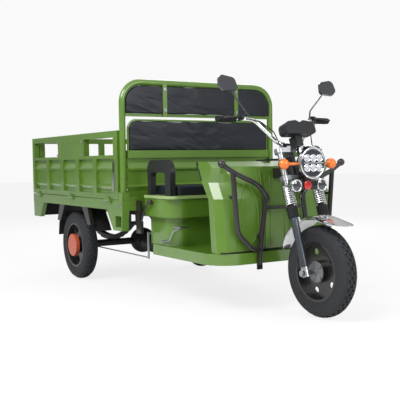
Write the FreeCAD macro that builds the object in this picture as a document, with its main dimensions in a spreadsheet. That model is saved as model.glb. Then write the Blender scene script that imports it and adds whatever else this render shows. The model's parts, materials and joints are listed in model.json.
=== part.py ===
import FreeCAD, Part
import math
import os
import re

import Sketcher

# Electric cargo tricycle. Lengths are in millimetres and angles in degrees.
# X runs forward, Y to the rider's left and Z up. Positions along X are measured from the rear axle,
# and each sub-part's Placement then moves it into the frame whose origin is on the ground under the
# middle of the machine. Pieces of the fork are drawn upright about the front axle and tilted by the rake.

SIZES = {
    # wheels and axles
    "wheelbase": 2062, "tyre_radius": 245, "tyre_width": 100, "rear_wheel_y": 513, "bead_radius": 152,
    "rim_half": 38, "flange": 12, "rim_wall": 5, "disc_wall": 6, "hub_radius": 58, "hub_half": 34,
    "axle_radius": 10, "bore_gap": 0.05, "window_radius": 17, "window_circle": 108,
    "cap_radius": 80, "cap_depth": 26,
    # steering
    "rake": 18.5, "steer_offset": 50, "leg_y": 104, "upper_leg": 16, "lower_leg": 20, "leg_top": 690,
    "leg_joint": 330, "clamp_low": 505, "clamp_high": 662, "clamp_wall": 26, "clamp_gap": 6,
    "stem_radius": 15, "head_radius": 27, "spring_radius": 33, "spring_wire": 4.5, "spring_top": 470,
    "bar_radius": 11, "bar_half": 390, "grip_length": 120, "grip_wall": 6,
    "fender_gap": 45, "fender_half": 75, "fender_wall": 3,
    "lamp_x": 2003, "lamp_z": 819, "lamp_radius": 86, "lamp_depth": 84,
    "aux_x": 1974, "aux_y": 87, "aux_z": 700, "aux_radius": 34,
    "signal_x": 1961, "signal_y": 163, "signal_z": 815, "signal_radius": 27,
    # cargo bed
    "bed_rear": 755, "bed_length": 1588, "bed_half": 594, "floor_top": 600, "bed_channel": 62,
    "channel_width": 50, "gate_top": 1037, "gate_wall": 40, "top_rail": 40, "mid_rail_low": 862,
    "mid_rail": 22, "gate_gap": 5, "sheet": 2.5, "rib_width": 58, "rib_depth": 18, "hinge_radius": 8,
    "crest": 4, "ridge_upper": 795, "ridge_lower": 684, "ridge_slope": 34, "toe_depth": 20,
    "plate_rear": -190, "plate_front": 295, "plate_wall": 6,
    # hoop and back rest
    "tube_radius": 20, "hoop_half": 570, "hoop_top": 1338, "hoop_bend": 130, "sleeve": 54,
    "sleeve_top": 650, "cross_rail_low": 1124, "cross_rail": 19, "strap_y": 275, "strap_width": 30,
    "strap_wall": 4, "pad_depth": 44, "pad_gap": 2, "back_rail_low": 863, "back_rail": 48,
    "back_tube": 7, "back_top": 1101, "back_bend": 60,
    # cab
    "rail_y": 270, "rail_width": 50, "rail_depth": 60, "pan_top": 330, "pan_half": 445,
    "pan_front": 1742, "pan_rear": 1010, "pan_wall": 3, "pan_corner": 150,
    "seat_front": 1280, "seat_rear": 960, "seat_half": 470, "seat_corner": 112, "board_wall": 17,
    "board_top": 634, "seat_step": 505, "step_back": 40, "cushion_height": 58, "cushion_half": 402,
    "arm_y": 435, "arm_wall": 36, "arm_top": 848,
    "apron_front": 1728, "apron_half": 415, "apron_top": 832,
    "post_x": 1560, "post_width": 60, "neck_low": 735, "neck_height": 55,
    "guard_x": 1757, "guard_tube": 14, "guard_y": 420, "guard_top": 823,
    # rear end
    "axle_tube": 25, "diff_radius": 95, "motor_radius": 78, "motor_length": 210, "drum_radius": 92,
    "leaf_width": 46, "seat_gap": 0.3, "leaf_wall": 7, "leaf_reach": 390, "leaf_sag": 110, "panel_low": 420,
}

PLACES = {
    "rear_reach": "bed_rear + 2 * hinge_radius + 2",
    "axle_x": "(rear_reach - wheelbase - tyre_radius) / 2",
    "bed_front": "bed_length - bed_rear",
    "hoop_x": "bed_front + gate_gap + sleeve / 2",
    "frame_top": "floor_top - 3",
    "frame_low": "frame_top - bed_channel",
    "gate_low": "floor_top + gate_gap",
    "gate_inner": "bed_half - gate_wall",
    "tail_half": "gate_inner - gate_gap",
    "post_inner": "hoop_half - sleeve / 2",
    "board_low": "board_top - board_wall",
    "rail_top": "pan_top - pan_wall",
    "back_rail_top": "back_rail_low + back_rail",
    "hinge_y": "bed_half + hinge_radius + 2",
    "hinge_z": "floor_top - 2",
    "hinge_x": "-bed_rear - hinge_radius - 2",
}

doc = FreeCAD.newDocument("cargo_tricycle")
V = FreeCAD.Vector
UP, FORWARD, LEFT = V(0, 0, 1), V(1, 0, 0), V(0, 1, 0)
HINGES = ("-617", "46", "679")
TAIL_HINGES = ("-400", "0", "400")
PIECES = []


# Dimensions: a sheet of driving sizes, and a set of places worked out from them.

def formula(text):
    """Write a size expression with each name pointing at the object that holds it."""
    def owner(match):
        word = match.group(0)
        if word in SIZES:
            return "sizes." + word
        return "places." + word if word in PLACES else word
    return re.sub(r"[a-z][a-z_]*", owner, str(text))


def bind(thing, field, text):
    thing.setExpression(field, formula(text))


def make_sheet():
    sheet = doc.addObject("Spreadsheet::Sheet", "sizes")
    for row, (name, size) in enumerate(SIZES.items(), 1):
        sheet.set(f"A{row}", name)
        sheet.set(f"B{row}", str(size))
        sheet.setAlias(f"B{row}", name)
    doc.recompute()
    places = doc.addObject("App::VarSet", "places")
    for name, text in PLACES.items():
        places.addProperty("App::PropertyFloat", name)
    for name, text in PLACES.items():
        bind(places, name, text)
    reader = doc.addObject("App::VarSet", "reader")
    reader.addProperty("App::PropertyFloat", "number")
    doc.recompute()
    return reader


def number(text):
    """Read one size expression as a number."""
    bind(reader, "number", text)
    reader.recompute()
    return reader.number


def point(x, y, z):
    return V(number(x), number(y), number(z))


def raked_x(forward, along):
    """X of a place given forward of, and along, the tilted line through the front axle."""
    return f"(wheelbase + ({forward}) * cos(rake) - ({along}) * sin(rake))"


def raked_z(forward, along):
    return f"(tyre_radius + ({forward}) * sin(rake) + ({along}) * cos(rake))"


# Shapes: primitives, booleans, drawn outlines and tubes, all tied to the sizes.

def box(x, y, z):
    """Block between two limits along each axis."""
    thing = doc.addObject("Part::Box", "Block")
    for side, axis, span in zip(("Length", "Width", "Height"), "xyz", (x, y, z)):
        bind(thing, side, f"({span[1]}) - ({span[0]})")
        bind(thing, f"Placement.Base.{axis}", span[0])
    return thing


def rod(axis, centre, radius, span):
    """Cylinder along an axis; centre gives its other two coordinates in X, Y, Z order."""
    thing = doc.addObject("Part::Cylinder", "Rod")
    thing.Placement.Rotation = FreeCAD.Rotation(UP, {"x": FORWARD, "y": LEFT, "z": UP}[axis])
    bind(thing, "Radius", radius)
    bind(thing, "Height", f"({span[1]}) - ({span[0]})")
    bind(thing, f"Placement.Base.{axis}", span[0])
    for other, text in zip([name for name in "xyz" if name != axis], centre):
        bind(thing, f"Placement.Base.{other}", text)
    return thing


def ball(x, y, z, radius):
    thing = doc.addObject("Part::Sphere", "Ball")
    bind(thing, "Radius", radius)
    for axis, text in zip("xyz", (x, y, z)):
        bind(thing, f"Placement.Base.{axis}", text)
    return thing


def fuse(*things):
    joined = doc.addObject("Part::MultiFuse", "Joined")
    joined.Shapes = list(things)
    joined.Refine = True
    return joined


def cut(base, *tools):
    thing = doc.addObject("Part::Cut", "Trimmed")
    thing.Base = base
    thing.Tool = tools[0] if len(tools) == 1 else fuse(*tools)
    return thing


def group(*things):
    gathered = doc.addObject("Part::Compound", "Group")
    gathered.Links = list(things)
    return gathered


def mirror(thing):
    """The same piece on the other side of the machine."""
    other = doc.addObject("Part::Mirroring", "OtherSide")
    other.Source = thing
    other.Normal = LEFT
    return other


def pair(thing):
    return group(thing, mirror(thing))


def corner_arc(before, at, after, radius):
    """Tangent points, centre and middle of the arc that rounds one corner."""
    back = (before - at).normalize()
    on = (after - at).normalize()
    half = back.getAngle(on) / 2
    reach = radius / math.tan(half)
    inward = (back + on).normalize()
    centre = at + inward * (radius / math.sin(half))
    return at + back * reach, at + on * reach, centre, centre - inward * radius


def draw(sketch, corners):
    """Closed outline in a sketch. A corner is (u, v) or (u, v, radius)."""
    places = [V(number(corner[0]), number(corner[1]), 0) for corner in corners]
    count = len(places)
    starts, ends, arcs = list(places), list(places), {}
    for i, corner in enumerate(corners):
        if len(corner) == 3:
            arc = corner_arc(places[i - 1], places[i], places[(i + 1) % count], number(corner[2]))
            ends[i], starts[i] = arc[0], arc[1]
            arcs[i] = arc
    first = sketch.GeometryCount
    lines = [first + i for i in range(count)]
    for i in range(count):
        sketch.addGeometry(Part.LineSegment(starts[i], ends[(i + 1) % count]), False)
    for i, corner in enumerate(corners):
        before, after = lines[i - 1], lines[i]
        if i in arcs:
            holder = round_corner(sketch, before, after, arcs[i], corner[2], places[i])
            pins = (holder, 1)
        else:
            sketch.addConstraint(Sketcher.Constraint("Coincident", before, 2, after, 1))
            pins = (after, 1)
        for kind, text, value in zip(("DistanceX", "DistanceY"), corner, places[i]):
            where = sketch.addConstraint(Sketcher.Constraint(kind, -1, 1, *pins, value))
            sketch.setExpression(f"Constraints[{where}]", formula(text))


def round_corner(sketch, before, after, arc, radius, at):
    """Arc tangent to two lines, and the point where the lines would have met."""
    start, end, centre, middle = arc
    curve = sketch.addGeometry(Part.Arc(start, middle, end), False)
    first = 1 if sketch.getPoint(curve, 1).distanceToPoint(start) < 1e-4 else 2
    sketch.addConstraint(Sketcher.Constraint("Tangent", before, 2, curve, first))
    sketch.addConstraint(Sketcher.Constraint("Tangent", curve, 3 - first, after, 1))
    where = sketch.addConstraint(Sketcher.Constraint("Radius", curve, number(radius)))
    sketch.setExpression(f"Constraints[{where}]", formula(radius))
    holder = sketch.addGeometry(Part.Point(at), True)
    sketch.addConstraint(Sketcher.Constraint("PointOnObject", holder, 1, before))
    sketch.addConstraint(Sketcher.Constraint("PointOnObject", holder, 1, after))
    return holder


def new_sketch(body, plane, lift):
    sketch = body.newObject("Sketcher::SketchObject", "Outline")
    planes = {feature.Role: feature for feature in body.Origin.OriginFeatures}
    sketch.AttachmentSupport = [(planes[plane.upper() + "_Plane"], "")]
    sketch.MapMode = "FlatFace"
    bind(sketch, "AttachmentOffset.Base.z", lift)
    return sketch


def plate(plane, corners, span, holes=()):
    """Outline in a plane (xy, xz or yz), given thickness between two limits across it."""
    body = doc.addObject("PartDesign::Body", "Plate")
    sketch = new_sketch(body, plane, f"-({span[1]})" if plane == "xz" else span[0])
    for outline in (corners, *holes):
        draw(sketch, outline)
    pad = body.newObject("PartDesign::Pad", "Pad")
    pad.Profile = sketch
    bind(pad, "Length", f"({span[1]}) - ({span[0]})")
    body.Tip = pad
    return body


def turned(axis, corners, at=(0, 0, 0)):
    """Outline of (along, radius) spun about an axis through a point."""
    body = doc.addObject("PartDesign::Body", "Turned")
    plane, line = {"x": ("xz", "H_Axis"), "y": ("yz", "H_Axis"), "z": ("xz", "V_Axis")}[axis]
    if axis == "z":
        corners = [(corner[1], corner[0], *corner[2:]) for corner in corners]
    sketch = new_sketch(body, plane, 0)
    draw(sketch, corners)
    spin = body.newObject("PartDesign::Revolution", "Spin")
    spin.Profile = sketch
    spin.ReferenceAxis = (sketch, [line])
    spin.Angle = 360
    body.Tip = spin
    for name, text in zip("xyz", at):
        bind(body, f"Placement.Base.{name}", text)
    return body


def shaped(shape, name="Shaped"):
    thing = doc.addObject("Part::Feature", name)
    thing.Shape = shape
    return thing


def route(places, bends):
    """Wire of straight runs joined by tangent arcs."""
    edges, last = [], places[0]
    for i in range(1, len(places) - 1):
        start, end, centre, middle = corner_arc(places[i - 1], places[i], places[i + 1], bends[i - 1])
        edges.append(Part.LineSegment(last, start).toShape())
        edges.append(Part.Arc(start, middle, end).toShape())
        last = end
    edges.append(Part.LineSegment(last, places[-1]).toShape())
    return Part.Wire(edges)


def tube(places, radius, bends=()):
    """Round bar along a route. One bend radius serves every corner."""
    points = [point(*place) for place in places]
    radii = [number(bend) for bend in bends]
    if len(radii) < len(points) - 2:
        radii = radii * (len(points) - 2)
    path = route(points, radii)
    ring = Part.Circle(points[0], points[1] - points[0], number(radius))
    bar = path.makePipeShell([Part.Wire(ring.toShape())], True, True)
    return shaped(bar, "Bar")


def tilt(*things):
    """Pieces drawn about the front axle, tilted by the rake and set at the wheelbase."""
    tilted = group(*things)
    tilted.Placement.Rotation = FreeCAD.Rotation(V(0, -1, 0), 1)
    bind(tilted, "Placement.Rotation.Angle", "rake")
    bind(tilted, "Placement.Base.x", "wheelbase")
    bind(tilted, "Placement.Base.z", "tyre_radius")
    return tilted


def loft(sections, ruled=True):
    """Solid through closed polygons that have the same number of corners."""
    wires = [Part.makePolygon(section + section[:1]) for section in sections]
    return Part.makeLoft(wires, True, ruled)


def piece(label, *things, tilted=False):
    """Finish one sub-part: label it and place it in the machine's frame."""
    part = doc.addObject("Part::Compound", label)
    part.Links = [tilt(*things)] if tilted else list(things)
    part.Label = label
    bind(part, "Placement.Base.x", "axle_x")
    PIECES.append(part)
    return things[0]


# Wheels and axles

def wheel(name, x, y):
    """Tyre, and a pressed disc rim with its hub, both bored for the axle."""
    centre = (x, y, "tyre_radius")
    side, tread = "tyre_width / 2", "tyre_radius - 10"
    tyre = turned("y", [
        ("-rim_half", "bead_radius"), ("rim_half", "bead_radius"), ("rim_half", "bead_radius + flange"),
        (side, "bead_radius + 42", 25), (f"{side} - 5", tread, 9), ("tyre_width / 4", "tyre_radius"),
        ("-tyre_width / 4", "tyre_radius"), (f"5 - {side}", tread, 9),
        (f"-{side}", "bead_radius + 42", 25), ("-rim_half", "bead_radius + flange"),
    ], centre)
    barrel = turned("y", [
        ("-rim_half - 4", "bead_radius + flange"), ("-rim_half", "bead_radius + flange"),
        ("-rim_half", "bead_radius"), ("rim_half", "bead_radius"), ("rim_half", "bead_radius + flange"),
        ("rim_half + 4", "bead_radius + flange"), ("rim_half + 4", "bead_radius - rim_wall"),
        ("-rim_half - 4", "bead_radius - rim_wall"),
    ], centre)

    def across(at, radius, half):
        return rod("y", at, radius, (f"{y} - ({half})", f"{y} + ({half})"))

    middle = (x, "tyre_radius")
    windows = []
    for i in range(5):
        turn = 72 * i + 36
        at = (f"{x} + window_circle * cos({turn})", f"tyre_radius + window_circle * sin({turn})")
        windows.append(across(at, "window_radius", "hub_half"))
    disc = across(middle, "bead_radius - 1", "disc_wall / 2")
    hub = across(middle, "hub_radius", "hub_half")
    bore = across(middle, "axle_radius + bore_gap", "tyre_width")
    piece(f"{name}_tyre", tyre)
    piece(f"{name}_rim", cut(fuse(barrel, disc, hub), bore, *windows))


def make_wheels():
    wheel("front", "wheelbase", "0")
    for name, side in (("rear_right", "-"), ("rear_left", "")):
        wheel(name, "0", f"{side}rear_wheel_y")
    for name, sign in (("rear_right", -1), ("rear_left", 1)):
        face = "rear_wheel_y + hub_half"
        ends = (face, f"{face} + cap_depth")
        if sign < 0:
            ends = (f"-({ends[1]})", f"-({ends[0]})")
        cap = rod("y", (0, "tyre_radius"), "cap_radius", ends)
        room = ("axle_radius + bore_gap", (f"{ends[0]} - 1", f"{ends[1]} - 8") if sign > 0
                else (f"{ends[0]} + 8", f"{ends[1]} + 1"))
        hollow = rod("y", (0, "tyre_radius"), *room)
        piece(f"{name}_hub_cap", cut(cap, hollow))


def make_rear_axle():
    """Axle tube with its differential and brake plates, the motor beside it, and the two leaf springs."""
    brake_face = "rear_wheel_y - hub_half - 3"
    casing = rod("y", (0, "tyre_radius"), "axle_tube", (f"-({brake_face})", brake_face))
    shaft = rod("y", (0, "tyre_radius"), "axle_radius", ("-rear_wheel_y - hub_half - cap_depth + 9",
                                                         "rear_wheel_y + hub_half + cap_depth - 9"))
    diff = ball(0, 0, "tyre_radius", "diff_radius")
    nose = rod("x", (0, "tyre_radius"), "diff_radius * 0.7", (0, "diff_radius + 20"))
    drums = [rod("y", (0, "tyre_radius"), "drum_radius", span) for span in (
        (f"{brake_face} - 22", brake_face), (f"-({brake_face})", f"22 - ({brake_face})"))]
    piece("rear_axle", fuse(casing, shaft, diff, nose, *drums))
    motor = turned("x", [
        ("diff_radius + 20", "0"), ("diff_radius + 20 + motor_length", "0"),
        ("diff_radius + 20 + motor_length", "motor_radius", 14), ("diff_radius + 20", "motor_radius", 6),
    ], (0, 0, "tyre_radius"))
    piece("drive_motor", motor)
    low = number("tyre_radius + axle_tube + seat_gap")
    sag, reach, wall = number("leaf_sag"), number("leaf_reach"), number("leaf_wall")
    leaves = []
    for i in range(5):
        share = 1 - 0.17 * i
        span = reach * share
        top = low + wall * (5 - i)
        rise = sag * share ** 2
        upper = Part.Arc(V(-span, 0, top + rise), V(0, 0, top), V(span, 0, top + rise)).toShape()
        under = Part.Arc(V(-span, 0, top + rise - wall), V(0, 0, top - wall), V(span, 0, top + rise - wall))
        ends = [Part.makeLine(V(s * span, 0, top + rise), V(s * span, 0, top + rise - wall)) for s in (-1, 1)]
        face = Part.Face(Part.Wire(Part.__sortEdges__([upper, under.toShape(), *ends])))
        leaves.append(face.extrude(V(0, number("leaf_width"), 0)))
    stack = leaves[0].fuse(leaves[1:])
    stack.translate(V(0, number("rail_y - leaf_width / 2"), 0))
    spring = shaped(stack, "Leaves")
    top = "tyre_radius + axle_tube + seat_gap + 5 * leaf_wall + leaf_sag"
    eyes = [rod("y", (x, f"{top} - leaf_wall / 2"), "14", ("rail_y - leaf_width / 2", "rail_y + leaf_width / 2"))
            for x in ("-leaf_reach", "leaf_reach")]
    ears = [box((f"{x} - 16", f"{x} + 16"), (f"rail_y + {a}", f"rail_y + {b}"), (f"{top} - 22", "frame_low - rail_depth"))
            for x in ("-leaf_reach", "leaf_reach") for a, b in (("leaf_width / 2", "leaf_width / 2 + 5"),
                                                                 ("-leaf_width / 2 - 5", "-leaf_width / 2"))]
    piece("leaf_springs", pair(fuse(spring, *eyes, *ears)))


# Chassis

def make_chassis():
    """Two cranked rails with cross members, and the post and neck that carry the head tube."""
    bed_bottom = "frame_low - rail_depth"
    rail = plate("xz", [
        ("-bed_rear + 20", bed_bottom), ("bed_front - 150", bed_bottom), ("bed_front + 60", "rail_top - rail_depth"),
        ("post_x + post_width", "rail_top - rail_depth"), ("post_x + post_width", "rail_top"),
        ("bed_front + 90", "rail_top"), ("bed_front - 120", "frame_low"), ("-bed_rear + 20", "frame_low"),
    ], ("rail_y - rail_width / 2", "rail_y + rail_width / 2"))
    side = "rail_y"
    bed_bars = [box((x, f"{x} + 40"), (f"-{side}", side), (f"{bed_bottom} + 10", "frame_low"))
                for x in ("-bed_rear + 20", "-480", "440", "bed_front - 200")]
    cab_bars = [box((x, f"{x} + 40"), (f"-{side}", side), ("rail_top - 45", "rail_top"))
                for x in ("pan_rear + 110", "post_x")]
    arms = [box((x, f"{x} + 40"), (f"-{side} - 150", f"{side} + 150"), ("rail_top - 30", "rail_top"))
            for x in ("pan_rear + 110", "1400")]
    half = "post_width / 2"
    post = box(("post_x", "post_x + post_width"), (f"-{half}", half), ("rail_top - 45", "neck_low + neck_height"))
    head_x, head_z = raked_x("-steer_offset", "600"), raked_z("-steer_offset", "600")
    neck = box(("post_x", head_x), (f"-{half} + 8", f"{half} - 8"), ("neck_low", "neck_low + neck_height"))
    piece("chassis_frame", cut(fuse(rail, mirror(rail), *bed_bars, *cab_bars, *arms, post, neck), tilt(rod("z", ("-steer_offset", 0), "head_radius", (300, 900)))))
    lower, upper = "clamp_low + clamp_wall + clamp_gap", "clamp_high - clamp_gap"
    outer = rod("z", ("-steer_offset", 0), "head_radius", (lower, upper))
    bore = rod("z", ("-steer_offset", 0), "stem_radius + bore_gap", (f"{lower} - 5", f"{upper} + 5"))
    piece("head_tube", cut(outer, bore), tilted=True)


def post_room(gap="0"):
    """The space that the front post takes up."""
    half = f"post_width / 2 + {gap}"
    return box((f"post_x - {gap}", f"post_x + post_width + {gap}"), (f"-({half})", half),
               ("rail_top - 45", f"neck_low + neck_height + {gap}"))


def make_floor_pan():
    """Inverted tray with rounded front corners."""
    def tray(rear, inset, span):
        return plate("xy", [
            (rear, f"{inset} - pan_half"), (f"pan_front - {inset}", f"{inset} - pan_half", f"pan_corner - {inset}"),
            (f"pan_front - {inset}", f"pan_half - {inset}", f"pan_corner - {inset}"), (rear, f"pan_half - {inset}"),
        ], span)
    bottom = "rail_top - rail_depth"
    piece("floor_pan", cut(tray("pan_rear", "0", (bottom, "pan_top")),
                           tray("pan_rear - 1", "pan_wall", (f"{bottom} - 1", "rail_top")), post_room()))


def make_apron():
    """Leg shield with a lobe each side of a channel, under a hood that slopes forward."""
    half, front, top = number("apron_half"), number("apron_front"), number("apron_top")
    levels = [(number("pan_top"), -90, -38, 0, -38), (628, -118, -66, -4, -40),
              (718, -182, -116, -28, -44), (top - 32, -228, -86, -54, -50), (top + 8, -228, -100, -70, -66)]
    sections = []
    for z, back, edge, lobe, channel in levels:
        right = [V(front + back, -half, z), V(front + edge, -half, z), V(front + edge + 36, 40 - half, z),
                 V(front + lobe, 100 - half, z), V(front + lobe, -135, z), V(front + channel, -98, z)]
        left = [V(p.x, -p.y, p.z) for p in reversed(right)]
        sections.append(right + left)
    solid = loft(sections)
    slope = Part.makePolygon([V(front - 300, -half - 9, top + 60), V(front - 300, -half - 9, top + 2),
                              V(front - 130, -half - 9, top), V(front + 40, -half - 9, top - 62),
                              V(front + 60, -half - 9, top + 60), V(front - 300, -half - 9, top + 60)])
    solid = solid.cut(Part.Face(slope).extrude(V(0, 2 * half + 18, 0)))
    slot = box(("post_x", "apron_front"), ("9 - post_width / 2 - 2", "post_width / 2 - 7"),
               ("neck_low - 1", "neck_low + neck_height + 1"))
    shield = piece("front_apron", cut(shaped(solid, "Shield"), post_room("1"), slot))
    lid = rod("z", ("apron_front - 168", 0), 44, ("apron_top + 1.5", "apron_top + 9"))
    piece("apron_lid", lid)
    return shield


def make_seat():
    """Stepped box with rounded corners, the battery block in it, the board, cushion and armrests."""
    def shell(back, span):
        return plate("xy", [
            ("seat_rear", f"{back} - seat_half"), (f"seat_front - {back}", f"{back} - seat_half", f"seat_corner - {back} / 2"),
            (f"seat_front - {back}", f"seat_half - {back}", f"seat_corner - {back} / 2"), ("seat_rear", f"seat_half - {back}"),
        ], span)
    room = box(("seat_rear + 20", "seat_front - step_back - 40"), ("step_back + 40 - seat_half", "seat_half - step_back - 40"),
               ("pan_top - 1", "board_low - 8"))
    piece("seat_box", cut(fuse(shell("step_back", ("pan_top", "seat_step + 1")), shell("0", ("seat_step", "board_low"))), room))
    piece("battery_pack", box(("pan_rear", "seat_front - step_back - 60"), ("step_back + 70 - seat_half", "seat_half - step_back - 70"),
                              ("pan_top", "seat_step + 50")))
    piece("seat_board", plate("xy", [
        ("seat_rear", "-seat_half - 6"), ("seat_front + 8", "-seat_half - 6", 60), ("seat_front + 8", "seat_half + 6", 60),
        ("seat_rear", "seat_half + 6")], ("board_low", "board_top")))
    piece("seat_cushion", plate("xy", [
        ("seat_rear + 5", "-cushion_half", 20), ("seat_front - 28", "-cushion_half", 30), ("seat_front - 28", "cushion_half", 30),
        ("seat_rear + 5", "cushion_half", 20)], ("board_top + 0.3", "board_top + cushion_height")))
    arch = plate("xz", [
        ("seat_rear + 12", "board_top"), ("seat_rear + 50", "board_top"), ("seat_rear + 50", "arm_top - 75", 25),
        ("seat_front - 92", "arm_top - 75", 25), ("seat_front - 92", "board_top"), ("seat_front - 30", "board_top"),
        ("seat_front - 22", "arm_top", 75), ("seat_rear", "arm_top", 60)],
        ("arm_y - arm_wall / 2", "arm_y + arm_wall / 2"))
    piece("armrests", pair(arch))


def make_guard(shield):
    """Bent crash bars in front of the apron, joined by a crossbar."""
    def at(y, z, ahead="0"):
        return (f"guard_x + ({ahead})", f"-({y})", z)
    main = tube([at("guard_y", "guard_top - 5"), at("guard_y - 75", "guard_top - 50"), at("150", "690"),
                 at("128", "640"), at("165", "400"), at("178", "262")], "guard_tube", ["120", "200", "60", "400"])
    outer = tube([at("350", "770"), at("322", "440"), at("230", "352"), at("172", "345")], "guard_tube", ["90", "80"])
    knob = ball("guard_x", "-guard_y", "guard_top - 3", "guard_tube + 8")
    tab = box(("guard_x - 3", "guard_x + 3"), ("-196", "-160"), (236, 268))
    bar = rod("y", ("guard_x", 575), "10", ("-140", "140"))
    stays = [rod("x", place, 9, ("apron_front - 30", "guard_x")) for place in (("-336", 640), ("-170", 420))]
    half = fuse(main, outer, knob, tab, *stays)
    piece("front_guard", cut(fuse(half, mirror(half), bar), shield))


# Cargo bed

def press_profile(place, low, high):
    """Corrugated sheet: place(depth) gives the coordinate across it, at a depth from the outer face."""
    wave = [("rib_depth", high), ("rib_depth", "ridge_upper + ridge_slope + 5"), ("crest", "ridge_upper + 5"),
            ("crest", "ridge_upper - 5"), ("rib_depth", "ridge_upper - 17"), ("rib_depth", "ridge_lower + 15"),
            ("crest + 2", "ridge_lower + 3"), ("crest + 2", "ridge_lower - 2"), ("toe_depth", "ridge_lower - 27"),
            ("toe_depth", low)]
    back = [(f"{depth} + sheet", z) for depth, z in reversed(wave)]
    return [(place(depth), z) for depth, z in wave + back]


def hinges(places, side):
    """Knuckles on a gate's foot."""
    knuckles = []
    for at in places:
        span = (f"{at} - 30", f"{at} + 30")
        leaf_y = ("-hinge_y", "-bed_half + 1")
        if side == "tail":
            knuckles.append(rod("y", ("hinge_x", "hinge_z"), "hinge_radius", span))
            knuckles.append(box(("hinge_x", "-bed_rear + 1"), span, ("gate_low", "gate_low + 14")))
            knuckles.append(box(("hinge_x", "hinge_x + 4"), span, ("hinge_z", "gate_low + 14")))
        else:
            knuckles.append(rod("x", ("-hinge_y", "hinge_z"), "hinge_radius", span))
            knuckles.append(box(span, leaf_y, ("gate_low", "gate_low + 14")))
            knuckles.append(box(span, ("-hinge_y", "-hinge_y + 4"), ("hinge_z", "gate_low + 14")))
    return knuckles


def make_side_gates():
    """Pressed panel framed by square tube, with ribs, a blank plate in the upper opening, and hinge knuckles."""
    rear, front = "-bed_rear", "bed_front"
    def depth(text):
        return f"{text} - bed_half"
    outer, inner = "-bed_half", "-gate_inner"
    skin = plate("yz", press_profile(depth, "gate_low", "mid_rail_low + 1"), (f"{rear} + 20", f"{front} - 20"))
    rails = [box((rear, front), (outer, inner), ("gate_top - top_rail", "gate_top")),
             box((rear, front), (outer, inner), ("mid_rail_low", "mid_rail_low + mid_rail")),
             box((rear, front), (outer, "toe_depth + 3 - bed_half"), ("gate_low", "gate_low + 34"))]
    posts = [box((a, b), (outer, inner), ("gate_low", "gate_top")) for a, b in (
        (rear, f"{rear} + 45"), (f"{front} - 62", front))]
    pitch = "(bed_length - 107) / 5"
    ribs = [box((f"{rear} + 22 + {pitch} * {i} - rib_width / 2 + 22", f"{rear} + 22 + {pitch} * {i} + rib_width / 2 + 22"),
                (outer, "rib_depth + sheet - bed_half"), ("gate_low + 10", "mid_rail_low + 1")) for i in range(1, 5)]
    blank = box(("plate_rear", "plate_front"), (outer, "plate_wall - bed_half"), ("mid_rail_low + mid_rail - 1", "gate_top - top_rail + 1"))
    stay = box(("plate_front", "plate_front + 6"), (outer, inner), ("mid_rail_low + mid_rail - 1", "gate_top - top_rail + 1"))
    recess = box(("plate_rear + 85", "plate_front - 92"), (f"{outer} - 1", "2 - bed_half"), ("mid_rail_low + mid_rail + 12", "gate_top - top_rail - 12"))
    knuckles = hinges(HINGES, "side")
    gate = fuse(skin, *rails, *posts, *ribs, blank, stay, *knuckles)
    gate = cut(gate, recess)
    piece("gate_right", gate)
    piece("gate_left", mirror(gate))
    hook = fuse(box(("bed_front - 45", "bed_front - 21"), ("-bed_half - 14", "-bed_half"), (690, 850)),
                rod("z", ("bed_front - 33", "-bed_half - 16"), 7, (660, 770)))
    piece("latch_right", hook)
    piece("latch_left", mirror(hook))


def make_tailgate():
    def depth(text):
        return f"{text} - bed_rear"
    outer, inner = "-bed_rear", "-bed_rear + gate_wall"
    skin = plate("xz", press_profile(depth, "gate_low", "mid_rail_low + 1"), ("20 - tail_half", "tail_half - 20"))
    ends = ("-tail_half", "tail_half")
    rails = [box((outer, inner), ends, ("gate_top - top_rail", "gate_top")),
             box((outer, inner), ends, ("mid_rail_low", "mid_rail_low + mid_rail")),
             box((outer, "toe_depth + 3 - bed_rear"), ends, ("gate_low", "gate_low + 34"))]
    posts = [box((outer, inner), (a, b), ("gate_low", "gate_top")) for a, b in (
        ("-tail_half", "45 - tail_half"), ("tail_half - 45", "tail_half"), ("-20", "20"))]
    ribs = [box((outer, "rib_depth + sheet - bed_rear"), (f"{y} - rib_width / 2", f"{y} + rib_width / 2"),
                ("gate_low + 10", "mid_rail_low + 1")) for y in ("-tail_half * 0.5", "tail_half * 0.5")]
    piece("tailgate", fuse(skin, *rails, *posts, *ribs, *hinges(TAIL_HINGES, "tail")))


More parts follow.
